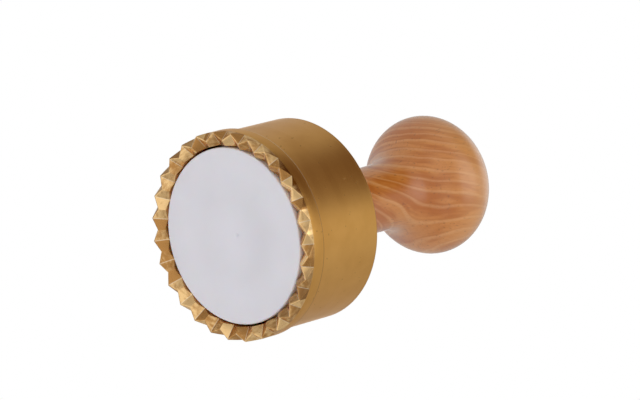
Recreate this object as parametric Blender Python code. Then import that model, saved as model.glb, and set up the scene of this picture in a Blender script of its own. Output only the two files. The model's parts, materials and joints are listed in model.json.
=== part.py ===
"""Ravioli stamp: a toothed brass cup, a sprung ejector disc inside it, and a turned wooden handle.

The stamp stands on its teeth with the handle up. The Z axis is the common axis of every turned piece,
and Z = 0 is the plane that the outer tips of the teeth touch. Lengths are in metres.
"""

import math

import bmesh
import bpy
from mathutils import Vector

for old in list(bpy.data.objects):
    bpy.data.objects.remove(old, do_unlink=True)

MM = 0.001

# General clearances
SEAT_GAP = 0.30 * MM
SLIDE_GAP = 0.10 * MM
DISC_GAP = 0.65 * MM

# Brass cup
TEETH = 28
FIRST_TOOTH_DEG = 8.4
BORE_R = 27.7 * MM
BODY_WALL = 3.35 * MM
BAND_HEIGHT = 0.95 * MM
BAND_WIDTH = 7.0 * MM
CUP_LENGTH = 32.2 * MM
BACK_WALL = 5.0 * MM
OUTER_GROOVE = 2.5 * MM
OUTER_GROOVE_RUN = 2.3 * MM
INNER_GROOVE = 2.6 * MM
LAND = 0.5 * MM
BORE_START = 4.0 * MM
CUP_EDGE = 0.5 * MM
CUP_FILLET = 2.0 * MM
FOOT_SEAT_DEPTH = 0.8 * MM

# Ejector disc
DISC_DEPTH = 1.6 * MM
DISC_THICK = 3.6 * MM
DISC_EDGE = 0.5 * MM
DISH_R = 21.0 * MM
DISH_DEPTH = 2.1 * MM
PIP_R = 0.5 * MM
PIP_DEPTH = 0.25 * MM
BOSS_R = 6.5 * MM
BOSS_HEIGHT = 5.8 * MM
BOSS_FILLET = 0.6 * MM
POCKET_FLOOR = 1.6 * MM

# Rod, nuts and washers
ROD_R = 2.5 * MM
ROD_CHAMFER = 0.5 * MM
ROD_TAIL = 1.0 * MM
INSERT_R = 4.4 * MM
INSERT_GROOVE = 0.35 * MM
NUT_FLATS = 8.0 * MM
JAM_NUT_HEIGHT = 2.5 * MM
STOP_NUT_HEIGHT = 4.0 * MM
STOP_WASHER_R = 5.0 * MM
STOP_WASHER_THICK = 0.9 * MM
WASHER_EDGE_SHARE = 0.2

# Spring and its washer
WIRE_R = 0.5 * MM
COIL_R = 7.7 * MM
COIL_TURNS = 5
END_PITCH = 1.9 * MM
POINTS_PER_TURN = 10
SPRING_WASHER_THICK = 0.8 * MM
SPRING_WASHER_RIM = 1.4 * MM

# Hollow bolt that joins the cup to the handle, and the bush inside it
BOLT_R = 8.0 * MM
BOLT_HEAD_R = 11.0 * MM
BOLT_HEAD = 2.3 * MM
BOLT_FLOOR = 6.0 * MM
BOLT_WALL = 2.2 * MM
BOLT_RIM = 1.0 * MM
BOLT_EDGE = 0.4 * MM
BUSH_WALL = 1.6 * MM
BUSH_FLANGE = 0.8 * MM
BUSH_FLANGE_WALL = 0.6 * MM
SLEEVE_WALL = 2.0 * MM
SLEEVE_LENGTH = 10.0 * MM
SLEEVE_EDGE = 0.3 * MM

# Wooden handle
FOOT_R = 15.5 * MM
FOOT_HEIGHT = 6.0 * MM
FOOT_SHOULDER_R = 13.4 * MM
COVE_LOW_PULL = 0.33
COVE_HIGH_PULL = 0.5
WAIST_R = 10.4 * MM
WAIST_Z = 61.0 * MM
NECK_R = 10.5 * MM
NECK_Z = 66.0 * MM
KNOB_R = 21.9 * MM
KNOB_HALF = 15.65 * MM
KNOB_Z = 91.3 * MM
KNOB_MEET_DEG = 38.0
ROD_ROOM_R = 4.0 * MM
ROD_ROOM = 1.0 * MM

# How finely each kind of piece is divided
CUP_SIDES_PER_TOOTH = 4
DISC_SIDES = 84
HANDLE_SIDES = 60
BOLT_SIDES = 36
SMALL_SIDES = 24
DISH_STEPS = 6
FILLET_STEPS = 3
FOOT_STEPS = 5
COVE_STEPS = 6
NECK_STEPS = 7
KNOB_STEPS = 11
SHARP_DEG = 28.0
MERGE_DISTANCE = 0.001 * MM
FLAT_TOLERANCE = 0.0001 * MM

# Places along the axis, each worked out from what the piece seats on
CUP_FLOOR = CUP_LENGTH - BACK_WALL
DISC_BACK = DISC_DEPTH + DISC_THICK
BOSS_TOP = DISC_BACK + BOSS_HEIGHT
JAM_NUT_Z = BOSS_TOP + SEAT_GAP
JAM_NUT_TOP = JAM_NUT_Z + JAM_NUT_HEIGHT
BOLT_Z = CUP_FLOOR - SEAT_GAP - BOLT_HEAD
SPRING_WASHER_Z = DISC_BACK + SEAT_GAP
SPRING_LOW = SPRING_WASHER_Z + SPRING_WASHER_THICK + SEAT_GAP
SPRING_HIGH = BOLT_Z - SEAT_GAP
BUSH_TOP = BOLT_Z + BOLT_FLOOR + SEAT_GAP + BUSH_FLANGE
STOP_WASHER_Z = BUSH_TOP + SEAT_GAP
STOP_NUT_Z = STOP_WASHER_Z + STOP_WASHER_THICK + SEAT_GAP
ROD_TOP = STOP_NUT_Z + STOP_NUT_HEIGHT + ROD_TAIL
STROKE = BOLT_Z - SEAT_GAP - JAM_NUT_TOP
BOLT_TOP = STOP_NUT_Z + STOP_NUT_HEIGHT + STROKE + BOLT_RIM
FOOT_SEAT_Z = CUP_LENGTH - FOOT_SEAT_DEPTH
HANDLE_Z = FOOT_SEAT_Z + SEAT_GAP
SLEEVE_Z = HANDLE_Z + SEAT_GAP
KNOB_TOP = KNOB_Z + KNOB_HALF

# Radii that follow from the fits
BODY_R = BORE_R + BODY_WALL
BAND_R = BODY_R + BAND_HEIGHT
CREST_R = BAND_R - OUTER_GROOVE_RUN
INNER_SLOPE = INNER_GROOVE / (BAND_R - LAND - BORE_R)
INNER_CREST_Z = INNER_SLOPE * (BAND_R - LAND) * (1 - BORE_R / (CREST_R - LAND))
DISC_R = BORE_R - DISC_GAP
ROD_HOLE_R = ROD_R + SEAT_GAP
BUSH_BORE_R = ROD_R + SLIDE_GAP
BUSH_R = BUSH_BORE_R + BUSH_WALL
BOLT_HOLE_R = BOLT_R + SEAT_GAP
BOLT_BORE_R = BOLT_R - BOLT_WALL
SLEEVE_BORE_R = BOLT_R + SEAT_GAP
SLEEVE_R = SLEEVE_BORE_R + SLEEVE_WALL
FOOT_SEAT_R = FOOT_R + SEAT_GAP


def material(name, colour, metallic, roughness):
    """A Principled material of one colour."""
    made = bpy.data.materials.new(name)
    made.use_nodes = True
    shader = made.node_tree.nodes["Principled BSDF"]
    shader.inputs["Base Color"].default_value = (*colour, 1.0)
    shader.inputs["Metallic"].default_value = metallic
    shader.inputs["Roughness"].default_value = roughness
    made.diffuse_color = (*colour, 1.0)
    return made


BRASS = (0.56, 0.33, 0.09)
PALE_BRASS = (0.66, 0.45, 0.16)
STEEL = (0.62, 0.62, 0.63)
BRONZE = (0.42, 0.22, 0.08)
WHITE_PLASTIC = (0.78, 0.77, 0.80)
BEECH = (0.55, 0.27, 0.11)


def axis_empty(name, z):
    """An empty on the common axis, which carries a group of pieces."""
    empty = bpy.data.objects.new(name, None)
    empty.empty_display_size = BODY_R
    empty.location = (0, 0, z)
    bpy.context.scene.collection.objects.link(empty)
    return empty


def add_piece(name, bm, finish, z, parent, parent_z, flat=False):
    """Makes an object of a mesh whose own Z = 0 lies at height z, and hangs it on its group's empty."""
    bmesh.ops.recalc_face_normals(bm, faces=bm.faces)
    mesh = bpy.data.meshes.new(name)
    bm.to_mesh(mesh)
    bm.free()
    if not flat:
        mesh.shade_smooth()
        mesh.set_sharp_from_angle(angle=math.radians(SHARP_DEG))
    piece = bpy.data.objects.new(name, mesh)
    piece.parent = parent
    piece.location = (0, 0, z - parent_z)
    mesh.materials.append(finish)
    bpy.context.scene.collection.objects.link(piece)
    return piece


def arc(centre_r, centre_z, radius, start_deg, end_deg, steps):
    """Points (r, z) along an arc in the plane of a turned profile."""
    points = []
    for step in range(steps + 1):
        angle = math.radians(start_deg + (end_deg - start_deg) * step / steps)
        points.append((centre_r + radius * math.cos(angle), centre_z + radius * math.sin(angle)))
    return points


def bezier(first, first_pull, last_pull, last, steps):
    """Points (r, z) along a cubic curve, without its two ends."""
    points = []
    for step in range(1, steps):
        t = step / steps
        weights = ((1 - t) ** 3, 3 * (1 - t) ** 2 * t, 3 * (1 - t) * t ** 2, t ** 3)
        corners = (first, first_pull, last_pull, last)
        points.append(tuple(sum(w * p[axis] for w, p in zip(weights, corners)) for axis in (0, 1)))
    return points


def turned(profile, sides, closed=True):
    """A mesh spun from (r, z) points: a ring, or a solid where the profile starts and ends on the axis."""
    bm = bmesh.new()
    corners = [bm.verts.new((r, 0, z)) for r, z in profile]
    edges = [bm.edges.new(pair) for pair in zip(corners, corners[1:])]
    if closed:
        edges.append(bm.edges.new((corners[-1], corners[0])))
    bmesh.ops.spin(
        bm,
        geom=corners + edges,
        cent=(0, 0, 0),
        axis=(0, 0, 1),
        angle=math.tau,
        steps=sides,
        use_merge=True,
    )
    bmesh.ops.remove_doubles(bm, verts=bm.verts, dist=MERGE_DISTANCE)
    return bm


def ring_profile(inner, outer, low, high, edge):
    """A washer or tube section with chamfered outer corners."""
    return [
        (inner, low),
        (outer - edge, low),
        (outer, low + edge),
        (outer, high - edge),
        (outer - edge, high),
        (inner, high),
    ]


def washer(hole, outer, thick, sides):
    """A flat washer, its lower face at Z = 0."""
    return turned(ring_profile(hole, outer, 0, thick, thick * WASHER_EDGE_SHARE), sides)


def hex_nut(flats, hole, height):
    """A hexagonal nut with a round hole, its lower face at Z = 0."""
    bm = bmesh.new()
    span = math.tau / 6
    rings = []
    for radius, z in ((hole, 0), (None, 0), (None, height), (hole, height)):
        ring = []
        for side in range(SMALL_SIDES):
            angle = math.tau * side / SMALL_SIDES
            to_flat = (angle + span / 2) % span - span / 2
            reach = radius or flats / 2 / math.cos(to_flat)
            ring.append(bm.verts.new((reach * math.cos(angle), reach * math.sin(angle), z)))
        rings.append(ring)
    bridge(bm, rings)
    return bm


def bridge(bm, rings):
    """Joins rings of equal count, and the last ring to the first."""
    for ring, following in zip(rings, rings[1:] + rings[:1]):
        for side, low in enumerate(ring):
            after = (side + 1) % len(ring)
            bm.faces.new((low, ring[after], following[after], following[side]))


def crown_corners():
    """Corners of the toothed end, tip and groove by turns: outer edge, both edges of the land, bore edge.

    Outer and inner V grooves alternate and leave a narrow flat land between them, which zigzags across the
    wall at Z = 0 and cuts the dough. Each groove flank is one flat face.
    """
    start = math.radians(FIRST_TOOTH_DEG)
    outer, land_out, land_in, inner = [], [], [], []
    for corner in range(2 * TEETH):
        at_tip = corner % 2 == 0
        angle = start + corner * math.pi / TEETH
        around = Vector((math.cos(angle), math.sin(angle), 0))
        land_r = BAND_R if at_tip else CREST_R
        outer.append(around * BAND_R + Vector((0, 0, 0 if at_tip else OUTER_GROOVE)))
        land_out.append(around * land_r)
        land_in.append(around * (land_r - LAND))
        inner.append(around * BORE_R + Vector((0, 0, INNER_GROOVE if at_tip else INNER_CREST_Z)))
    return outer, land_out, land_in, inner


def divided(corners, parts):
    """Points along straight lines from each corner to the next, round a closed outline."""
    points = []
    for here, there in zip(corners, corners[1:] + corners[:1]):
        points += [here.lerp(there, part / parts) for part in range(parts)]
    return points


def crown_faces(bm, outer, land_out, land_in, inner):
    """The faces of the toothed end, half a tooth at a time: outer flank, land and inner flank."""
    half = CUP_SIDES_PER_TOOTH // 2
    count = len(outer)
    for corner in range(2 * TEETH):
        after = (corner + 1) % (2 * TEETH)
        tip, groove = (corner, after) if corner % 2 == 0 else (after, corner)
        steps = [(corner * half + part) % count for part in range(half + 1)]
        for here, there in zip(steps, steps[1:]):
            bm.faces.new((outer[here], outer[there], land_out[groove]))
            bm.faces.new((inner[there], inner[here], land_in[tip]))
        bm.faces.new((outer[tip * half], land_out[groove], land_in[groove], land_in[tip]))
        bm.faces.new((land_in[tip], land_in[groove], inner[groove * half]))


def cutter_body(parent, finish):
    """The brass cup: toothed band, plain wall, and a back wall with a seat for the foot."""
    sides = TEETH * CUP_SIDES_PER_TOOTH
    start = math.radians(FIRST_TOOTH_DEG)
    profile = [
        (BAND_R, BAND_WIDTH - CUP_EDGE / 2),
        (BODY_R, BAND_WIDTH),
        (BODY_R, CUP_LENGTH - CUP_EDGE),
        (BODY_R - CUP_EDGE, CUP_LENGTH),
        (FOOT_SEAT_R, CUP_LENGTH),
        (FOOT_SEAT_R, FOOT_SEAT_Z),
        (BOLT_HOLE_R, FOOT_SEAT_Z),
        (BOLT_HOLE_R, CUP_FLOOR),
    ]
    profile += arc(BORE_R - CUP_FILLET, CUP_FLOOR - CUP_FILLET, CUP_FILLET, 90, 0, FILLET_STEPS)
    profile.append((BORE_R, BORE_START))
    bm = bmesh.new()
    half = CUP_SIDES_PER_TOOTH // 2
    outer, land_out, land_in, inner = crown_corners()
    outer = [bm.verts.new(point) for point in divided(outer, half)]
    inner = [bm.verts.new(point) for point in divided(inner, half)]
    land_out = [bm.verts.new(point) if corner % 2 else None for corner, point in enumerate(land_out)]
    land_in = [bm.verts.new(point) for point in land_in]
    rings = [outer]
    for r, z in profile:
        ring = []
        for side in range(sides):
            angle = start + math.tau * side / sides
            ring.append(bm.verts.new((r * math.cos(angle), r * math.sin(angle), z)))
        rings.append(ring)
    rings.append(inner)
    for ring, following in zip(rings, rings[1:]):
        for side, low in enumerate(ring):
            after = (side + 1) % sides
            bm.faces.new((low, ring[after], following[after], following[side]))
    crown_faces(bm, outer, land_out, land_in, inner)
    bmesh.ops.triangulate(bm, faces=[face for face in bm.faces if not is_flat(face)])
    return add_piece("cutter_body", bm, finish, 0, parent, 0)


def is_flat(face):
    """True when a face's corners lie in one plane, so it needs no dividing."""
    if len(face.verts) == 3:
        return True
    origin = face.verts[0].co
    normal = (face.verts[1].co - origin).cross(face.verts[2].co - origin).normalized()
    return abs((face.verts[3].co - origin).dot(normal)) < FLAT_TOLERANCE


def ejector_disc(parent, parent_z, finish):
    """The plastic disc: a flat rim round a dish, a centre pip, and a boss with a pocket."""
    pocket_r = INSERT_R + SEAT_GAP
    profile = [(0, DISH_DEPTH + PIP_DEPTH), (PIP_R, DISH_DEPTH)]
    for step in range(1, DISH_STEPS):
        share = step / DISH_STEPS
        profile.append((DISH_R * share, DISH_DEPTH * (1 + math.cos(math.pi * share)) / 2))
    profile += [
        (DISH_R, 0),
        (DISC_R - DISC_EDGE, 0),
        (DISC_R, DISC_EDGE),
        (DISC_R, DISC_THICK - DISC_EDGE),
        (DISC_R - DISC_EDGE, DISC_THICK),
        (BOSS_R + BOSS_FILLET, DISC_THICK),
        (BOSS_R, DISC_THICK + BOSS_FILLET),
        (BOSS_R, DISC_THICK + BOSS_HEIGHT),
        (pocket_r, DISC_THICK + BOSS_HEIGHT),
        (pocket_r, DISH_DEPTH + POCKET_FLOOR),
        (0, DISH_DEPTH + POCKET_FLOOR),
    ]
    bm = turned(profile, DISC_SIDES, closed=False)
    return add_piece("ejector_disc", bm, finish, DISC_DEPTH, parent, parent_z)


def disc_insert(parent, parent_z, finish):
    """The threaded brass insert in the disc's boss, with a retaining groove round it."""
    low = DISC_DEPTH + DISH_DEPTH + POCKET_FLOOR + SEAT_GAP
    height = BOSS_TOP - low
    third = height / 3
    groove = INSERT_R - INSERT_GROOVE
    profile = [
        (ROD_HOLE_R, 0),
        (INSERT_R, 0),
        (INSERT_R, third),
        (groove, third + INSERT_GROOVE),
        (groove, 2 * third - INSERT_GROOVE),
        (INSERT_R, 2 * third),
        (INSERT_R, height),
        (ROD_HOLE_R, height),
    ]
    return add_piece("disc_insert", turned(profile, SMALL_SIDES), finish, low, parent, parent_z)


def guide_rod(parent, parent_z, finish):
    """The steel rod from the insert's bottom up through both nuts, with chamfered ends."""
    low = DISC_DEPTH + DISH_DEPTH + POCKET_FLOOR + 2 * SEAT_GAP
    height = ROD_TOP - low
    profile = [
        (0, 0),
        (ROD_R - ROD_CHAMFER, 0),
        (ROD_R, ROD_CHAMFER),
        (ROD_R, height - ROD_CHAMFER),
        (ROD_R - ROD_CHAMFER, height),
        (0, height),
    ]
    bm = turned(profile, SMALL_SIDES, closed=False)
    return add_piece("guide_rod", bm, finish, low, parent, parent_z)


def ejector_spring(parent, finish):
    """The compression spring between the disc's washer and the bolt's head, one unbroken wire."""
    low = SPRING_LOW + WIRE_R
    high = SPRING_HIGH - WIRE_R
    middle_pitch = (high - low - 2 * END_PITCH) / (COIL_TURNS - 2)
    path = []
    for step in range(COIL_TURNS * POINTS_PER_TURN + 1):
        turn = step / POINTS_PER_TURN
        from_low = min(turn, 1) * END_PITCH
        from_high = max(turn - COIL_TURNS + 1, 0) * END_PITCH
        middle = min(max(turn - 1, 0), COIL_TURNS - 2) * middle_pitch
        angle = math.tau * turn
        height = from_low + middle + from_high
        path.append(Vector((COIL_R * math.cos(angle), COIL_R * math.sin(angle), height)))
    tail = Vector((0, 2 * WIRE_R, 0))
    path.insert(0, path[0] - tail)
    path.append(path[-1] + tail)
    print_self_gap(path)
    curve = bpy.data.curves.new("ejector_spring", "CURVE")
    curve.dimensions = "3D"
    curve.bevel_depth = WIRE_R
    curve.bevel_resolution = 1
    curve.use_fill_caps = True
    line = curve.splines.new("POLY")
    line.points.add(len(path) - 1)
    for point, place in zip(line.points, path):
        point.co = (*place, 1)
    curve.materials.append(finish)
    spring = bpy.data.objects.new("ejector_spring", curve)
    spring.parent = parent
    spring.location = (0, 0, low)
    bpy.context.scene.collection.objects.link(spring)
    return spring


def print_self_gap(path):
    """Prints the least gap between turns, from points of the wire's centre line over half a turn apart."""
    parts = 6
    dense = divided(path, parts)[:-parts]
    apart = parts * POINTS_PER_TURN // 2 + parts
    least = min(
        (here - there).length
        for index, here in enumerate(dense)
        for there in dense[index + apart :]
    )
    print(f"spring: least gap between turns {(least - 2 * WIRE_R) / MM:.2f} mm")


def spring_washer(parent, parent_z, finish):
    """The washer that spreads the spring's load on the back of the disc."""
    inner = BOSS_R + BOSS_FILLET + SEAT_GAP
    outer = COIL_R + WIRE_R + SPRING_WASHER_RIM
    bm = washer(inner, outer, SPRING_WASHER_THICK, BOLT_SIDES)
    return add_piece("spring_seat_washer", bm, finish, SPRING_WASHER_Z, parent, parent_z)


def handle_bolt(parent, finish):
    """The hollow bolt: its head inside the cup, its shank through the back wall and up into the handle."""
    bush_hole = BUSH_R + SEAT_GAP
    top = BOLT_TOP - BOLT_Z
    profile = [
        (bush_hole, 0),
        (BOLT_HEAD_R - BOLT_EDGE, 0),
        (BOLT_HEAD_R, BOLT_EDGE),
        (BOLT_HEAD_R, BOLT_HEAD),
        (BOLT_R, BOLT_HEAD),
        (BOLT_R, top - BOLT_EDGE),
        (BOLT_R - BOLT_EDGE, top),
        (BOLT_BORE_R, top),
        (BOLT_BORE_R, BOLT_FLOOR),
        (bush_hole, BOLT_FLOOR),
    ]
    return add_piece("handle_bolt", turned(profile, BOLT_SIDES), finish, BOLT_Z, parent, 0)


def guide_bush(parent, finish):
    """The flanged bush in the bolt's floor, which the rod slides through."""
    flange_z = BOLT_FLOOR + SEAT_GAP
    flange_r = BUSH_R + SEAT_GAP + BUSH_FLANGE_WALL
    profile = [
        (BUSH_BORE_R, 0),
        (BUSH_R, 0),
        (BUSH_R, flange_z),
        (flange_r, flange_z),
        (flange_r, flange_z + BUSH_FLANGE),
        (BUSH_BORE_R, flange_z + BUSH_FLANGE),
    ]
    return add_piece("guide_bush", turned(profile, SMALL_SIDES), finish, BOLT_Z, parent, 0)


def handle_sleeve(parent, finish):
    """The threaded sleeve glued into the foot of the handle, which the bolt screws into."""
    bm = turned(ring_profile(SLEEVE_BORE_R, SLEEVE_R, 0, SLEEVE_LENGTH, SLEEVE_EDGE), BOLT_SIDES)
    return add_piece("handle_sleeve", bm, finish, SLEEVE_Z, parent, 0)


def handle_outline():
    """The handle's outer profile from the foot to the top of the knob, with Z counted from the foot."""
    bulge = FOOT_HEIGHT / 2
    foot = arc(FOOT_R - bulge, bulge, bulge, -90, 60, FOOT_STEPS)
    shoulder = (FOOT_SHOULDER_R, FOOT_HEIGHT)
    waist = (WAIST_R, WAIST_Z - HANDLE_Z)
    drop = waist[1] - shoulder[1]
    shoulder_pull = (FOOT_SHOULDER_R, shoulder[1] + drop * COVE_LOW_PULL)
    waist_pull = (WAIST_R, waist[1] - drop * COVE_HIGH_PULL)
    cove = bezier(shoulder, shoulder_pull, waist_pull, waist, COVE_STEPS)
    neck = (NECK_R, NECK_Z - HANDLE_Z)
    centre_z = KNOB_Z - HANDLE_Z
    meet = math.radians(KNOB_MEET_DEG)
    start = (KNOB_R * math.cos(meet), centre_z - KNOB_HALF * math.sin(meet))
    slope = math.hypot(KNOB_R * math.sin(meet), KNOB_HALF * math.cos(meet))
    pull = (start[1] - neck[1]) / 2
    before = (
        start[0] - pull * KNOB_R * math.sin(meet) / slope,
        start[1] - pull * KNOB_HALF * math.cos(meet) / slope,
    )
    fillet = bezier(neck, (NECK_R, neck[1] + pull), before, start, NECK_STEPS)
    knob = []
    for step in range(KNOB_STEPS):
        angle = -meet + (meet + math.pi / 2) * step / KNOB_STEPS
        knob.append((KNOB_R * math.cos(angle), centre_z + KNOB_HALF * math.sin(angle)))
    return foot + [shoulder] + cove + [waist, neck] + fillet + knob


def wooden_handle(parent, finish):
    """The turned handle: foot bead, cove, neck and knob, bored for the sleeve, the bolt and the rod."""
    sleeve_room_r = SLEEVE_R + SEAT_GAP
    sleeve_room = SLEEVE_Z + SLEEVE_LENGTH + SEAT_GAP - HANDLE_Z
    bolt_room = BOLT_TOP + SEAT_GAP - HANDLE_Z
    rod_room = max(ROD_TOP + STROKE - HANDLE_Z, bolt_room) + ROD_ROOM
    bore = [
        (0, rod_room),
        (ROD_ROOM_R, rod_room),
        (ROD_ROOM_R, bolt_room),
        (BOLT_HOLE_R, bolt_room),
        (BOLT_HOLE_R, sleeve_room),
        (sleeve_room_r, sleeve_room),
        (sleeve_room_r, 0),
    ]
    profile = bore + handle_outline() + [(0, KNOB_TOP - HANDLE_Z)]
    bm = turned(profile, HANDLE_SIDES, closed=False)
    return add_piece("wooden_handle", bm, finish, HANDLE_Z, parent, 0)


def stop_hardware(parent, parent_z, finish):
    """The jam nut on the boss, and the washer and nut on the rod's top that stop the disc's way out."""
    jam_nut = hex_nut(NUT_FLATS, ROD_HOLE_R, JAM_NUT_HEIGHT)
    add_piece("jam_nut", jam_nut, finish, JAM_NUT_Z, parent, parent_z, flat=True)
    stop_washer = washer(ROD_HOLE_R, STOP_WASHER_R, STOP_WASHER_THICK, SMALL_SIDES)
    add_piece("stop_washer", stop_washer, finish, STOP_WASHER_Z, parent, parent_z)
    stop_nut = hex_nut(NUT_FLATS, ROD_HOLE_R, STOP_NUT_HEIGHT)
    add_piece("stop_nut", stop_nut, finish, STOP_NUT_Z, parent, parent_z, flat=True)


def build():
    stamp_axis = axis_empty("stamp_axis", 0)
    ejector_axis = axis_empty("ejector_axis", DISC_DEPTH)
    brass = material("satin_brass", BRASS, 1.0, 0.32)
    cutter_body(stamp_axis, brass)
    handle_bolt(stamp_axis, material("bolt_brass", PALE_BRASS, 1.0, 0.35))
    guide_bush(stamp_axis, material("bush_bronze", BRONZE, 1.0, 0.45))
    handle_sleeve(stamp_axis, material("sleeve_brass", PALE_BRASS, 1.0, 0.4))
    wooden_handle(stamp_axis, material("varnished_beech", BEECH, 0.0, 0.3))
    ejector_spring(stamp_axis, material("spring_steel", STEEL, 1.0, 0.3))
    ejector_disc(ejector_axis, DISC_DEPTH, material("white_plastic", WHITE_PLASTIC, 0.0, 0.45))
    disc_insert(ejector_axis, DISC_DEPTH, material("insert_brass", PALE_BRASS, 1.0, 0.35))
    guide_rod(ejector_axis, DISC_DEPTH, material("rod_steel", STEEL, 1.0, 0.2))
    spring_washer(ejector_axis, DISC_DEPTH, material("washer_steel", STEEL, 1.0, 0.35))
    stop_hardware(ejector_axis, DISC_DEPTH, material("nut_steel", STEEL, 1.0, 0.3))


build()
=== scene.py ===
"""The ravioli stamp's looks: brass, plastic, varnished beech, studio light and the photograph's camera."""

import json
import math

import bmesh
import bpy
from mathutils import Matrix, Vector


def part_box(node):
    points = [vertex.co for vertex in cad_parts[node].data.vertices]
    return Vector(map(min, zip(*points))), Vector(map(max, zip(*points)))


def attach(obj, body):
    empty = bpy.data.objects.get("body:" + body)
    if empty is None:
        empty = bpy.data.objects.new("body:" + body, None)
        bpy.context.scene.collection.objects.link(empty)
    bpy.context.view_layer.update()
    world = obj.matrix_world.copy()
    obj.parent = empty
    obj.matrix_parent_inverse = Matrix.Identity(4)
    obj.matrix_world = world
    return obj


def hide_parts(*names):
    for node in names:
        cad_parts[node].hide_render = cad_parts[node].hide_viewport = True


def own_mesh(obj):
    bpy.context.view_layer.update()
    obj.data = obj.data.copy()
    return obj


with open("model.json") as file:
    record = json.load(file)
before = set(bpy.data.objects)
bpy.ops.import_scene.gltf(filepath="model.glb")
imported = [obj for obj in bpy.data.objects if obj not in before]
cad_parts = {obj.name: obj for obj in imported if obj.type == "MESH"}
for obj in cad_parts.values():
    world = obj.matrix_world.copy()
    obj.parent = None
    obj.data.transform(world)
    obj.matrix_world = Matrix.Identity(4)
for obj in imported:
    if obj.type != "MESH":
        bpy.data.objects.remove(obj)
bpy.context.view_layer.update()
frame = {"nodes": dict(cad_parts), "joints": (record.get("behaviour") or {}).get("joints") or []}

MM = 0.001

# The photograph's view: the frame and the crown's centre in pixels, the distance, and how the axis lies
FRAME_PX = (640, 400)
FOCAL_PX = 4500
CROWN_PX = (232.09, 236.64)
CAMERA_DISTANCE = 1.35
AXIS_OFF_SIGHT_DEG = 43.526
ROLL_DEG = 75.239
CROWN_HEIGHT = 1.26 * MM
SENSOR_MM = 36

# The cup: its teeth and grooves, the slices of ring that carry them, and the radii of band, body and bore
TEETH = 28
FIRST_TOOTH_DEG = 8.4
OUTER_GROOVE = 2.5 * MM
OUTER_CREST_R = 29.7 * MM
INNER_GROOVE = 2.6 * MM
LAND = 0.5 * MM
CROWN_TOP = 4.0 * MM
SLICES = 4
BAND_R = 31.99 * MM
BAND_END = 7.0 * MM
BODY_R = 31.05 * MM
BORE_R = 27.7 * MM

# The disc's dish and the pip at its centre
DISH_R = 21.0 * MM
DISH_DEPTH = 2.1 * MM
PIP_R = 0.5 * MM
PIP_DEPTH = 0.25 * MM

# Sides and steps of the round shapes
HANDLE_SIDES = 128
DISC_SIDES = 144
WIRE_SIDES = 12
WIRE_STEPS_PER_TURN = 36

# Edges that turn by less than this are shaded smooth
CUP_SHARP_DEG = 35
SHARP_DEG = 40

MERGE_DISTANCE = 0.002 * MM

# The stage: how far the floor lies under the stamp, how wide it is, and the light over it (metres, watts)
FLOOR_Z = -1.7
FLOOR_SIZE = 12
WASH_Z = -1.2
WASH_SIZE = 4
WASH_POWER = 26


def view_axes():
    """The camera's right, up and backward directions. The stamp's axis leans away from the line of sight."""
    lean = math.radians(AXIS_OFF_SIGHT_DEG)
    roll = math.radians(ROLL_DEG)
    backward = Vector((0, -math.sin(lean), -math.cos(lean)))
    level = Vector((1, 0, 0))
    upright = backward.cross(level)
    right = math.cos(roll) * level + math.sin(roll) * upright
    return right, backward.cross(right), backward


def add_camera():
    right, up, backward = view_axes()
    across = (CROWN_PX[0] - FRAME_PX[0] / 2) / FOCAL_PX * CAMERA_DISTANCE
    down = (CROWN_PX[1] - FRAME_PX[1] / 2) / FOCAL_PX * CAMERA_DISTANCE
    crown = Vector((0, 0, CROWN_HEIGHT))
    place = crown - right * across + up * down + backward * CAMERA_DISTANCE
    lens = bpy.data.cameras.new("camera")
    lens.sensor_fit = "HORIZONTAL"
    lens.sensor_width = SENSOR_MM
    lens.lens = FOCAL_PX * SENSOR_MM / FRAME_PX[0]
    lens.clip_start = 0.05
    lens.clip_end = 50
    camera = bpy.data.objects.new("camera", lens)
    turn = Matrix((right, up, backward)).transposed()
    camera.matrix_world = Matrix.Translation(place) @ turn.to_4x4()
    bpy.context.scene.collection.objects.link(camera)
    bpy.context.scene.camera = camera


class Shade:
    """A socket in one node tree. Arithmetic on it adds Math nodes, and node() adds any other."""

    def __init__(self, tree, socket=None):
        self.tree = tree
        self.socket = socket

    def node(self, kind, settings=None, sockets=None, out=0):
        """Adds a node: its settings first, then the values or links of its sockets."""
        made = self.tree.nodes.new(kind)
        for name, value in (settings or {}).items():
            setattr(made, name, value)
        for name, value in (sockets or {}).items():
            socket = made.inputs[name]
            if isinstance(value, Shade):
                self.tree.links.new(value.socket, socket)
            elif socket.type == "RGBA":
                socket.default_value = (*value, 1)
            else:
                socket.default_value = value
        return Shade(self.tree, made.outputs[out])

    def math(self, operation, *values):
        return self.node("ShaderNodeMath", {"operation": operation}, dict(enumerate(values)))

    def mix(self, share, first, second):
        """A colour between two, by a share from 0 to 1."""
        return self.node("ShaderNodeMix", {"data_type": "RGBA"}, {0: share, 6: first, 7: second}, out=2)

    def __add__(self, other):
        return self.math("ADD", self, other)

    def __radd__(self, other):
        return self.math("ADD", other, self)

    def __sub__(self, other):
        return self.math("SUBTRACT", self, other)

    def __rsub__(self, other):
        return self.math("SUBTRACT", other, self)

    def __mul__(self, other):
        return self.math("MULTIPLY", self, other)

    def __rmul__(self, other):
        return self.math("MULTIPLY", other, self)

    def __truediv__(self, other):
        return self.math("DIVIDE", self, other)

    def hypot(self, other):
        return self.math("SQRT", self * self + other * other)

    def smooth(self, low, high):
        """0 below low, 1 above high, and a soft step between."""
        sockets = {"Value": self, "From Min": low, "From Max": high}
        return self.node("ShaderNodeMapRange", {"interpolation_type": "SMOOTHSTEP"}, sockets)

    def fade(self, low, high):
        """1 below low, 0 above high, and a soft step between."""
        return 1 - self.smooth(low, high)


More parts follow.
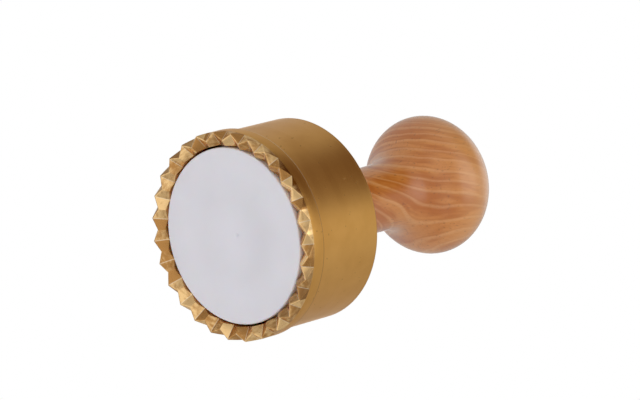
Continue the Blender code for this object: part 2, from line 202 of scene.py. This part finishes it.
class Finish(Shade):
    """A material being made: its shader's constants, and helpers for the patterns that several share."""

    def __init__(self, name, **constants):
        self.material = bpy.data.materials.new(name)
        self.material.use_nodes = True
        super().__init__(self.material.node_tree)
        self.shader = self.tree.nodes["Principled BSDF"]
        for socket, value in constants.items():
            self.shader.inputs[socket.replace("_", " ")].default_value = value
        self.place = self.node("ShaderNodeTexCoord", out="Object")
        self.x, self.y, self.z = (self.part(axis) for axis in range(3))
        self.radius = self.x.hypot(self.y)

    def part(self, axis):
        return self.node("ShaderNodeSeparateXYZ", None, {0: self.place}, out=axis)

    def combine(self, x, y, z):
        return self.node("ShaderNodeCombineXYZ", None, {0: x, 1: y, 2: z})

    def stretched(self, scale):
        """The place, with each axis multiplied by its own number."""
        return self.node("ShaderNodeMapping", None, {"Vector": self.place, "Scale": scale})

    def noise(self, vector, scale, detail=2.0, roughness=0.5):
        sockets = {"Vector": vector, "Scale": scale, "Detail": detail, "Roughness": roughness}
        return self.node("ShaderNodeTexNoise", None, sockets)

    def bump(self, height, strength, distance, before=None):
        sockets = {"Height": height, "Strength": strength, "Distance": distance}
        if before is not None:
            sockets["Normal"] = before
        return self.node("ShaderNodeBump", None, sockets)

    def facing(self, degrees, span):
        """1 on the side of the axis that lies at an angle from +X, and 0 beyond a span from it."""
        way = math.radians(degrees)
        cosine = (self.x * math.cos(way) + self.y * math.sin(way)) / self.radius
        return cosine.smooth(math.cos(math.radians(span)), 1)

    def link(self, **varying):
        for socket, value in varying.items():
            self.tree.links.new(value.socket, self.shader.inputs[socket.replace("_", " ")])
        return self.material


BRASS = (0.86, 0.47, 0.13)
BRASS_DEEP = (0.77, 0.40, 0.10)
FACET_BRASS = (1.0, 0.67, 0.31)
FACET_DEEP = (0.52, 0.26, 0.08)
# The colour of the painted highlights on the groove bottoms and on the band's edge.
GLINT_BRASS = (0.98, 0.84, 0.62)
# Tarnish for the wall's specks, and also the colour of painted shade on the teeth's flanks and the edges.
TARNISH_AND_SHADE = (0.34, 0.17, 0.06)


def milled_facets(made):
    """The colour of the teeth's facets, and the number from 0 to 1 that sets each half tooth's tone.

    Some flanks, on some sides of the crown, are painted darker as shade, and painted highlights run along the
    bottoms of the grooves.
    """
    teeth_round = made.math("ARCTAN2", made.y, made.x) * (TEETH / math.tau) - FIRST_TOOTH_DEG * TEETH / 360
    from_tip = made.math("PINGPONG", teeth_round, 0.5)
    land = BAND_R - LAND / 2 - from_tip * (2 * (BAND_R - OUTER_CREST_R))
    outer = (made.radius - land).smooth(-0.05 * MM, 0.05 * MM)
    rising = made.math("FRACT", teeth_round).fade(0.49, 0.51)
    half_teeth = made.math("FLOOR", teeth_round * 2)
    sockets = {"Vector": made.combine(half_teeth, made.math("ROUND", outer), 0)}
    facet = made.node("ShaderNodeTexWhiteNoise", {"noise_dimensions": "2D"}, sockets)
    across = outer * (0.5 - from_tip) + (1 - outer) * from_tip
    # Painted highlight: a bright line along the bottom of each groove.
    groove_glint = (across * made.radius * (math.tau / TEETH)).fade(0.05 * MM, 0.17 * MM)
    # Painted shade: chosen flanks on chosen sides of the crown are painted darker, standing in for the shade
    # they fall in.
    shaded_flanks = made.facing(150, 38) * outer * rising + made.facing(322, 30) * (1 - outer) * rising
    shaded_flanks = shaded_flanks + made.facing(312, 16) * outer * (1 - rising)
    milling = made.noise(made.combine(teeth_round * 3, made.radius * 1100, made.z * 700), 1.0, 3.0)
    colour = made.mix((facet + (milling - 0.5) * 1.3).smooth(0.15, 0.85), FACET_BRASS, FACET_DEEP)
    colour = made.mix(shaded_flanks * 0.75, colour, TARNISH_AND_SHADE)
    return made.mix(groove_glint * 0.6, colour, GLINT_BRASS), facet


def cup_brass(length):
    """Satin turned brass on the wall, and paler milled facets on the teeth.

    The band's edge has a painted highlight on one side and painted shade on its other side, and the back's
    rounded edge is painted darker.
    """
    made = Finish("cup_brass", Metallic=1.0, Specular_Tint=(1.0, 0.90, 0.78, 1.0))
    lathe = made.noise(made.combine(0, made.radius * 400, made.z * 1500), 1.0, 3.0)
    lines = made.noise(made.combine(0, made.radius * 900, made.z * 5200), 1.0)
    cloud = made.noise(made.place, 95, 3.0)
    speck = made.noise(made.stretched((900, 900, 700)), 1.0, 1.0).smooth(0.735, 0.77)
    crown = made.z.fade(INNER_GROOVE - 0.1 * MM, INNER_GROOVE + 0.1 * MM)
    milled, facet = milled_facets(made)
    edge_distance = made.math("ABSOLUTE", made.z - (BAND_END - 0.12 * MM))
    band_edge = edge_distance.fade(0.08 * MM, 0.22 * MM) * made.radius.smooth(BODY_R, BAND_R - 0.2 * MM)
    back_rim = made.radius.smooth(BODY_R - 0.65 * MM, BODY_R - 0.35 * MM)
    back_edge = made.z.smooth(length - 0.65 * MM, length - 0.25 * MM) * back_rim
    colour = made.mix(cloud.smooth(0.3, 0.75), BRASS, BRASS_DEEP)
    colour = made.mix(crown, colour, milled)
    # Painted highlight: one side of the band's edge is painted bright.
    colour = made.mix(band_edge * made.facing(215, 75) * 0.8, colour, GLINT_BRASS)
    # Painted shade on the other side of the band's edge; the back's rounded edge is painted darker too.
    colour = made.mix(band_edge * made.facing(305, 65) * 0.9 + back_edge * 0.85, colour, TARNISH_AND_SHADE)
    colour = made.mix(speck * 0.5, colour, TARNISH_AND_SHADE)
    rough = 0.33 + (lathe - 0.5) * 0.12 + (cloud - 0.5) * 0.08 - crown * (0.16 - facet * 0.10) + speck * 0.2
    first = made.bump(lines, 0.10, 0.02 * MM)
    normal = made.bump(lathe, 0.08, 0.03 * MM, first)
    return made.link(Base_Color=colour, Roughness=rough, Normal=normal)


def turned_brass(name, colour, roughness):
    """Plain turned brass or bronze for the pieces inside."""
    made = Finish(name, Metallic=1.0)
    lathe = made.noise(made.combine(0, made.radius * 1200, made.z * 2600), 1.0)
    cloud = made.noise(made.place, 160)
    tone = made.mix(cloud, colour, tuple(0.82 * part for part in colour))
    rough = roughness + (lathe - 0.5) * 0.2
    return made.link(Base_Color=tone, Roughness=rough, Normal=made.bump(lathe, 0.15, 0.03 * MM))


def bright_steel(name, roughness):
    """Bright stainless steel, turned or drawn."""
    made = Finish(name, Metallic=1.0)
    lathe = made.noise(made.combine(made.radius * 1500, 0, made.z * 2200), 1.0)
    cloud = made.noise(made.place, 220)
    tone = made.mix(cloud, (0.62, 0.62, 0.63), (0.52, 0.52, 0.54))
    rough = roughness + (lathe - 0.5) * 0.15
    return made.link(Base_Color=tone, Roughness=rough, Normal=made.bump(lathe, 0.12, 0.02 * MM))


def white_plastic():
    """Faintly lilac turned plastic: rings of tool marks, barely seen, and a soft mottle."""
    made = Finish("white_plastic", Subsurface_Weight=0.15, Subsurface_Scale=2 * MM)
    rings = made.noise(made.combine(made.radius * 2200, 0, 0), 1.0)
    cloud = made.noise(made.place, 60, 3.0)
    # Painted shade: a faintly darker ring where the dish slopes most.
    shadiest_r = 12 * MM
    dish_shade = made.radius.smooth(shadiest_r / 4, shadiest_r) * made.radius.fade(shadiest_r, DISH_R)
    tone = made.mix(cloud.smooth(0.35, 0.7) * 0.5 + dish_shade * 0.5, (0.88, 0.875, 0.955), (0.83, 0.825, 0.89))
    pip = made.radius.fade(0.4 * PIP_R, 1.6 * PIP_R)
    tone = made.mix(pip * 0.25, tone, (0.52, 0.54, 0.66))
    rough = 0.42 + (rings - 0.5) * 0.10 + (cloud - 0.5) * 0.08
    return made.link(Base_Color=tone, Roughness=rough, Normal=made.bump(rings, 0.05, 0.02 * MM))


BEECH = (0.72, 0.275, 0.055)
BEECH_DARK = (0.55, 0.155, 0.012)
BEECH_PALE = (0.86, 0.46, 0.19)
FLECK = (0.30, 0.085, 0.015)


def varnished_beech():
    """Beech under clear varnish: pale growth lines, broad darker streaks, fibres and short dark flecks.

    The growth lines are level at the foot and tilt more and more from the neck to the middle of the knob.
    """
    made = Finish("varnished_beech", Coat_Weight=1.0, Coat_Roughness=0.2, Coat_IOR=1.5)
    neck_z, knob_z, top_light_z = 64 * MM, 80 * MM, 97 * MM
    ring_width = 3.7 * MM
    wander = made.noise(made.stretched((60, 60, 30)), 1.0)
    tilt = 0.50 - made.x * 24 * made.z.smooth(neck_z, knob_z)
    across = (made.z - knob_z) * tilt - made.x * 0.97 + (wander - 0.5) * 5 * MM
    spread = made.noise(made.combine(across * 170, 0, made.z * 12), 1.0)
    ring = made.math("FRACT", (across + (spread - 0.5) * 5 * MM) / ring_width)
    late = made.math("ABSOLUTE", ring - 0.5).smooth(0.30, 0.5)
    streak = made.noise(made.combine(across * 210, made.y * 25, made.z * 45), 1.0, 3.0, 0.6)
    fibre = made.noise(made.stretched((1500, 1500, 90)), 1.0, 3.0)
    fleck = made.noise(made.stretched((1500, 1500, 420)), 1.0, 1.0).smooth(0.64, 0.73)
    tone = made.mix(streak.smooth(0.44, 0.60), BEECH, BEECH_DARK)
    tone = made.mix(late * 0.42, tone, BEECH_PALE)
    early = made.math("ABSOLUTE", ring - 0.16).fade(0.02, 0.06)
    tone = made.mix(early * streak * 0.6, tone, BEECH_DARK)
    tone = made.mix(fibre.smooth(0.4, 0.75) * 0.25, tone, BEECH_DARK)
    tone = made.mix(fleck * 0.45, tone, FLECK)
    # Painted light: the knob is painted paler towards its end, where more light falls.
    top_light = made.z.smooth(knob_z, top_light_z)
    tone = made.mix(top_light * 0.6, tone, BEECH_PALE)
    rough = 0.42 + (fibre - 0.5) * 0.2
    return made.link(Base_Color=tone, Roughness=rough, Normal=made.bump(fibre, 0.06, 0.05 * MM))


def edit(piece):
    """Opens one piece in edit mode, with nothing else selected."""
    bpy.ops.object.select_all(action="DESELECT")
    piece.select_set(True)
    bpy.context.view_layer.objects.active = piece
    bpy.ops.object.mode_set(mode="EDIT")


def close_edit():
    """Merges doubles, turns all faces outwards and leaves edit mode."""
    bpy.ops.mesh.select_all(action="SELECT")
    bpy.ops.mesh.remove_doubles(threshold=MERGE_DISTANCE)
    bpy.ops.mesh.normals_make_consistent(inside=False)
    bpy.ops.object.mode_set(mode="OBJECT")


def smooth_over(piece, degrees):
    bpy.ops.object.select_all(action="DESELECT")
    piece.select_set(True)
    bpy.context.view_layer.objects.active = piece
    bpy.ops.object.shade_smooth_by_angle(angle=math.radians(degrees))


def join(name, *pieces):
    """Makes one piece of several, each with its turn put into its mesh."""
    bpy.ops.object.select_all(action="DESELECT")
    for piece in pieces:
        piece.select_set(True)
    bpy.context.view_layer.objects.active = pieces[0]
    bpy.ops.object.transform_apply(location=True, rotation=True, scale=True)
    bpy.ops.object.join()
    joined = bpy.context.object
    joined.name = name
    joined.data.name = name
    return joined


def turned_wall(name, profile, sides):
    """A wall turned from (r, z) points: a ring, extruded and resized from each to the next.

    It is left in edit mode.
    """
    bpy.ops.object.select_all(action="DESELECT")
    radius, height = profile[0]
    bpy.ops.mesh.primitive_circle_add(vertices=sides, radius=radius)
    piece = bpy.context.object
    piece.name = name
    piece.data.name = name
    edit(piece)
    bpy.ops.mesh.select_all(action="SELECT")
    bpy.ops.transform.translate(value=(0, 0, height))
    for r, z in profile[1:]:
        bpy.ops.mesh.extrude_region_move(TRANSFORM_OT_translate={"value": (0, 0, z - height)})
        ratio = r / radius
        bpy.ops.transform.resize(value=(ratio, ratio, 1), center_override=(0, 0, z))
        radius, height = r, z
    return piece


def turned_solid(name, profile, sides):
    """A solid turned from (r, z) points that start and end on the axis."""
    first_r, first_z = profile[1]
    piece = turned_wall(name, profile[1:-1], sides)
    draw_together(profile[-1][1] - profile[-2][1])
    select_vertices(piece, lambda co: abs(co.z - first_z) + abs(co.xy.length - first_r) < MERGE_DISTANCE)
    draw_together(profile[0][1] - first_z)
    close_edit()
    return piece


def draw_together(rise):
    """Extrudes the selected ring by a rise and merges it on the axis."""
    bpy.ops.mesh.extrude_region_move(TRANSFORM_OT_translate={"value": (0, 0, rise)})
    bpy.ops.mesh.merge(type="CENTER")


def select_vertices(piece, test):
    """Selects the vertices of the piece in edit mode whose places pass a test, and the edges between them."""
    mesh = bmesh.from_edit_mesh(piece.data)
    for vertex in mesh.verts:
        vertex.select = test(vertex.co)
    mesh.select_flush(True)
    mesh.select_flush_mode()
    bmesh.update_edit_mesh(piece.data)


def select_faces(piece, test):
    """Selects the faces of the piece in edit mode whose corners all pass a test."""
    bpy.ops.mesh.select_all(action="DESELECT")
    mesh = bmesh.from_edit_mesh(piece.data)
    for face in mesh.faces:
        if all(test(vertex.co) for vertex in face.verts):
            face.select_set(True)
    bmesh.update_edit_mesh(piece.data)


def arc(centre_r, centre_z, radius, start_deg, end_deg, steps):
    """Points (r, z) of a round corner."""
    points = []
    for step in range(steps + 1):
        angle = math.radians(start_deg + (end_deg - start_deg) * step / steps)
        points.append((centre_r + radius * math.cos(angle), centre_z + radius * math.sin(angle)))
    return points


def bezier(first, first_pull, last_pull, last, steps):
    """Points (r, z) along a cubic curve, without its two ends."""
    points = []
    for step in range(1, steps):
        t = step / steps
        weights = ((1 - t) ** 3, 3 * (1 - t) ** 2 * t, 3 * (1 - t) * t ** 2, t ** 3)
        corners = (first, first_pull, last_pull, last)
        points.append(tuple(sum(w * p[axis] for w, p in zip(weights, corners)) for axis in (0, 1)))
    return points


def finish_piece(piece, material, body, slot, *nodes):
    """Gives a piece its material and body, and lets it stand for its CAD nodes. Its slot is not used."""
    piece.data.materials.clear()
    piece.data.materials.append(material)
    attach(piece, body)
    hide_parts(*nodes)


def tooth():
    """One tooth: a slice of ring, cut by the flanks of an outer and an inner groove, then mirrored.

    A narrow flat land stays between the two flanks, in the plane of the tips.
    """
    span = math.pi / TEETH
    bpy.ops.object.select_all(action="DESELECT")
    middle = ((BORE_R + BAND_R) / 2, 0, CROWN_TOP / 2)
    bpy.ops.mesh.primitive_plane_add(size=1, location=middle, rotation=(math.pi / 2, 0, 0))
    piece = bpy.context.object
    piece.scale = (BAND_R - BORE_R, CROWN_TOP, 1)
    bpy.ops.object.transform_apply(location=True, rotation=True, scale=True)
    edit(piece)

    # Half a tooth's slice of ring, closed at both ends so that the cuts can be filled
    bpy.ops.mesh.select_all(action="SELECT")
    bpy.ops.mesh.delete(type="ONLY_FACE")
    bpy.ops.mesh.select_all(action="SELECT")
    bpy.ops.mesh.spin(steps=SLICES, angle=-span, center=(0, 0, 0), axis=(0, 0, 1))
    side_planes = [Vector((0, 1, 0)), Vector((-math.sin(span), math.cos(span), 0))]
    for plane in side_planes:
        select_vertices(piece, lambda co: abs(co.dot(plane)) < MERGE_DISTANCE)
        bpy.ops.mesh.edge_face_add()

    # Each flank is a plane through the two ends of its edge on the land and the bottom of its groove
    around = Vector((math.cos(span), math.sin(span), 0))
    outer_flank = (
        Vector((BAND_R, 0, 0)),
        around * BAND_R + Vector((0, 0, OUTER_GROOVE)),
        around * OUTER_CREST_R,
    )
    inner_flank = (
        Vector((BAND_R - LAND, 0, 0)),
        Vector((BORE_R, 0, INNER_GROOVE)),
        around * (OUTER_CREST_R - LAND),
    )
    for first, second, third in (outer_flank, inner_flank):
        down = (second - first).cross(third - first)
        down *= -1 if down.z > 0 else 1
        bpy.ops.mesh.select_all(action="SELECT")
        bpy.ops.mesh.bisect(plane_co=first, plane_no=down.normalized(), use_fill=True, clear_outer=True)

    # The two ends and the top come off, where the other half and the wall join on
    for plane in side_planes:
        select_faces(piece, lambda co: abs(co.dot(plane)) < MERGE_DISTANCE)
        bpy.ops.mesh.delete(type="FACE")
    select_faces(piece, lambda co: abs(co.z - CROWN_TOP) < MERGE_DISTANCE)
    bpy.ops.mesh.delete(type="FACE")
    close_edit()
    flank = piece.modifiers.new("other_flank", "MIRROR")
    flank.use_axis = (False, True, False)
    flank.merge_threshold = MERGE_DISTANCE
    bpy.ops.object.modifier_apply(modifier=flank.name)
    return piece


def cup():
    """The brass cup: a crown of equal teeth on a turned band, wall and back, with sharp edges broken."""
    first = tooth()
    teeth = [first]
    for number in range(1, TEETH):
        copy = first.copy()
        copy.data = first.data.copy()
        copy.rotation_euler.z = math.tau * number / TEETH
        bpy.context.scene.collection.objects.link(copy)
        teeth.append(copy)

    # The rest is turned: up the outside, over the back and its seat, and down the bore to the teeth
    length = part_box("cutter_body")[1].z
    back_wall, seat_depth = 5.0 * MM, 0.8 * MM
    floor = length - back_wall
    band_round, back_round, fillet, groove_round = 0.15 * MM, 0.5 * MM, 2.0 * MM, 0.15 * MM
    seat_r, seat_z, hole_r = 15.8 * MM, length - seat_depth, 8.3 * MM
    profile = [(BAND_R, CROWN_TOP)]
    profile += arc(BAND_R - band_round, BAND_END - band_round, band_round, 0, 90, 4)
    profile += arc(BODY_R + groove_round, BAND_END + groove_round, groove_round, 270, 180, 3)
    profile += arc(BODY_R - back_round, length - back_round, back_round, 0, 90, 5)
    profile += [(seat_r, length), (seat_r, seat_z), (hole_r, seat_z), (hole_r, floor)]
    profile += arc(BORE_R - fillet, floor - fillet, fillet, 90, 0, 6)
    profile.append((BORE_R, CROWN_TOP))
    wall = turned_wall("wall", profile, 2 * TEETH * SLICES)
    bpy.ops.object.mode_set(mode="OBJECT")
    piece = join("brass_cup", wall, *teeth)
    piece.rotation_euler.z = math.radians(FIRST_TOOTH_DEG)
    bpy.ops.object.transform_apply(location=True, rotation=True, scale=True)
    edit(piece)
    close_edit()
    edges = piece.modifiers.new("broken_edges", "BEVEL")
    edges.width = 0.1 * MM
    edges.segments = 2
    edges.limit_method = "ANGLE"
    edges.angle_limit = math.radians(28)
    edges.use_clamp_overlap = True
    bpy.ops.object.modifier_apply(modifier=edges.name)
    smooth_over(piece, CUP_SHARP_DEG)
    finish_piece(piece, cup_brass(length), "stamp", "cup_brass", "cutter_body")


def handle():
    """The turned beech handle: the solid's foot bead, cove, neck and knob in finer steps, and its bores."""
    low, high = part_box("wooden_handle")
    sleeve_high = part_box("handle_sleeve")[1]
    bolt_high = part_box("handle_bolt")[1]
    gap = 0.3 * MM
    foot_r, foot_height, shoulder_r = 15.5 * MM, 6.0 * MM, 13.4 * MM
    waist = (10.4 * MM, 61.0 * MM)
    neck = (10.5 * MM, 66.0 * MM)
    knob_r, knob_half = high.x, 15.65 * MM
    knob_z = high.z - knob_half
    sleeve_r, sleeve_top = sleeve_high.x + gap, sleeve_high.z + gap
    bolt_r, bolt_top = 8.3 * MM, bolt_high.z + gap
    rod_r, rod_top = 4.0 * MM, bolt_high.z + 1.3 * MM

    # The stepped bore for the rod, the bolt and the sleeve, then the foot bead and the cove up to the waist
    profile = [(0, rod_top), (rod_r, rod_top), (rod_r, bolt_top), (bolt_r, bolt_top), (bolt_r, sleeve_top)]
    profile += [(sleeve_r, sleeve_top), (sleeve_r, low.z)]
    bulge = foot_height / 2
    profile += arc(foot_r - bulge, low.z + bulge, bulge, -90, 70, 16)
    shoulder = (shoulder_r, low.z + foot_height)
    drop = waist[1] - shoulder[1]
    low_pull = (shoulder_r, shoulder[1] + drop * 0.33)
    high_pull = (waist[0], waist[1] - drop * 0.5)
    profile += [shoulder, *bezier(shoulder, low_pull, high_pull, waist, 16), waist, neck]

    # The neck flares into the knob's ellipse along its tangent
    meet = math.radians(38)
    start = (knob_r * math.cos(meet), knob_z - knob_half * math.sin(meet))
    slope = math.hypot(knob_r * math.sin(meet), knob_half * math.cos(meet))
    pull = (start[1] - neck[1]) / 2
    along = (knob_r * math.sin(meet) / slope, knob_half * math.cos(meet) / slope)
    before = (start[0] - pull * along[0], start[1] - pull * along[1])
    profile += bezier(neck, (neck[0], neck[1] + pull), before, start, 18)
    steps = 38
    for step in range(steps):
        angle = -meet + (meet + math.pi / 2) * step / steps
        profile.append((knob_r * math.cos(angle), knob_z + knob_half * math.sin(angle)))
    profile.append((0, high.z))
    piece = turned_solid("beech_handle", profile, HANDLE_SIDES)
    smooth_over(piece, SHARP_DEG)
    finish_piece(piece, varnished_beech(), "stamp", "varnished_beech", "wooden_handle")


def disc():
    """The ejector disc, with rounded rims, a shallow dish and the pip that the lathe's centre left."""
    low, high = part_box("ejector_disc")
    rim_r, back = high.x, low.z + 3.6 * MM
    edge = 0.5 * MM
    boss_r, boss_fillet = 6.5 * MM, 0.6 * MM
    pocket_r, pocket_floor = 4.7 * MM, low.z + 3.7 * MM
    bottom = low.z + DISH_DEPTH
    profile = [(0, bottom + PIP_DEPTH), (PIP_R / 2, bottom + 0.8 * PIP_DEPTH), (PIP_R, bottom)]
    steps = 16
    for step in range(1, steps + 1):
        share = step / steps
        fall = 0.5 + 0.5 * math.cos(math.pi * share)
        profile.append((DISH_R * share, low.z + DISH_DEPTH * fall))
    profile += arc(rim_r - edge, low.z + edge, edge, -90, 0, 5)
    profile += arc(rim_r - edge, back - edge, edge, 0, 90, 5)
    profile += [(boss_r + boss_fillet, back), (boss_r, back + boss_fillet), (boss_r, high.z)]
    profile += [(pocket_r, high.z), (pocket_r, pocket_floor), (0, pocket_floor)]
    piece = turned_solid("white_disc", profile, DISC_SIDES)
    smooth_over(piece, SHARP_DEG)
    finish_piece(piece, white_plastic(), "ejector", "white_plastic", "ejector_disc")


def spring():
    """The spring: one wire in three screwed lengths, of which the end ones are closer wound.
    """
    low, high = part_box("ejector_spring")
    wire_r, coil_r = 0.5 * MM, 7.7 * MM
    end_turns, middle_turns, end_rise = 1, 3, 1.9 * MM
    length = high.z - low.z
    middle_rise = length - 2 * wire_r - 2 * end_rise
    height = low.z + wire_r
    ends = [Vector((coil_r, 0, height)), Vector((coil_r, 0, high.z - wire_r))]
    turn = (math.pi / 2, 0, 0)
    wires = []
    for turns, rise in ((end_turns, end_rise), (middle_turns, middle_rise), (end_turns, end_rise)):
        bpy.ops.object.select_all(action="DESELECT")
        start = (coil_r, 0, height)
        bpy.ops.mesh.primitive_circle_add(vertices=WIRE_SIDES, radius=wire_r, location=start, rotation=turn)
        bpy.ops.object.transform_apply(location=True, rotation=True, scale=True)
        wire = bpy.context.object
        coil = wire.modifiers.new("coil", "SCREW")
        coil.angle = math.tau * turns
        coil.screw_offset = rise
        coil.steps = WIRE_STEPS_PER_TURN * turns
        coil.render_steps = coil.steps
        bpy.ops.object.modifier_apply(modifier=coil.name)
        wires.append(wire)
        height += rise
    piece = join("coil_spring", *wires)
    edit(piece)
    for end in ends:
        select_vertices(piece, lambda co: (co - end).length < wire_r + MERGE_DISTANCE)
        bpy.ops.mesh.edge_face_add()
    close_edit()
    smooth_over(piece, SHARP_DEG)
    finish_piece(piece, bright_steel("spring_steel", 0.24), "stamp", "spring_steel", "ejector_spring")
    slide = next(joint for joint in frame["joints"] if joint["name"] == "ejector_slide")
    keep = 1 - slide["range_m"][1] / length
    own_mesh(piece)


def inner_pieces():
    """The pieces inside keep their solids and get their finishes."""
    pale = turned_brass("turned_brass", (0.80, 0.56, 0.24), 0.32)
    steel = bright_steel("stainless_steel", 0.28)
    finishes = {
        "handle_bolt": pale,
        "handle_sleeve": pale,
        "disc_insert": pale,
        "guide_bush": turned_brass("bush_bronze", (0.55, 0.32, 0.14), 0.42),
        "guide_rod": steel,
        "spring_seat_washer": steel,
        "jam_nut": steel,
        "stop_washer": steel,
        "stop_nut": steel,
    }
    for name, finish in finishes.items():
        node = frame["nodes"][name]
        node.data.materials.clear()
        node.data.materials.append(finish)


def add_stage():
    """A pale floor far below, because the camera looks up at the stamp from under its teeth."""
    bpy.ops.object.select_all(action="DESELECT")
    bpy.ops.mesh.primitive_plane_add(size=FLOOR_SIZE, location=(0, 0, FLOOR_Z))
    floor = bpy.context.object
    floor.name = "floor"
    material = bpy.data.materials.new("floor")
    material.use_nodes = True
    shader = material.node_tree.nodes["Principled BSDF"]
    shader.inputs["Base Color"].default_value = (0.86, 0.86, 0.86, 1)
    shader.inputs["Roughness"].default_value = 0.9
    floor.data.materials.append(material)


def studio_world():
    """Soft light from a pale room, brighter behind, over and before the stamp, with a brown shade.

    The brass wall mirrors the shade as the dark band along its side. The camera itself sees plain white.
    """
    world = bpy.data.worlds.new("studio")
    bpy.context.scene.world = world
    world.use_nodes = True
    tree = world.node_tree
    sky = Shade(tree)
    direction = sky.node("ShaderNodeTexCoord", out="Generated")

    def toward(aim, low, high):
        """1 near a direction and 0 away from it, by the cosines low and high."""
        settings = {"operation": "DOT_PRODUCT"}
        sockets = {0: direction, 1: tuple(Vector(aim).normalized())}
        return sky.node("ShaderNodeVectorMath", settings, sockets, out=1).smooth(low, high)

    backward = view_axes()[2]
    behind = toward(-backward, 0.975, 0.995)
    front = toward((0.12, -0.98, 0.08), 0.75, 1.0)
    softbox = toward((0, 0, 1), 0.86, 0.98)
    shade = toward((-0.45, -0.52, 0.725), 0.80, 0.985)
    shade_edge = toward((-0.68, -0.10, 0.725), 0.70, 1.0)
    far_side = toward((0.66, 0.20, 0.725), 0.60, 1.0)
    dark = 1 - (1 - shade) * (1 - shade_edge * 0.25) * (1 - far_side * 0.2)
    room = sky.mix(dark, (0.54, 0.54, 0.54), (0.09, 0.035, 0.0))
    glow = behind * 0.70 + softbox * 0.4 + front * 1.0
    lit = sky.node("ShaderNodeVectorMath", {"operation": "ADD"}, {0: room, 1: glow})
    seen = sky.node("ShaderNodeLightPath", out="Is Camera Ray")
    tree.links.new(sky.mix(seen, lit, (1.0, 1.0, 1.0)).socket, tree.nodes["Background"].inputs["Color"])


def add_floor_wash():
    """A wide light that shines down on the floor, so that the floor lights the disc and the teeth."""
    lamp = bpy.data.lights.new("floor_wash", "AREA")
    lamp.size = WASH_SIZE
    lamp.energy = WASH_POWER
    light = bpy.data.objects.new("floor_wash", lamp)
    light.location = (0, 0, WASH_Z)
    bpy.context.scene.collection.objects.link(light)


scene = bpy.context.scene
scene.view_settings.view_transform = "Standard"
add_camera()
studio_world()
add_floor_wash()
add_stage()
cup()
disc()
handle()
spring()
inner_pieces()
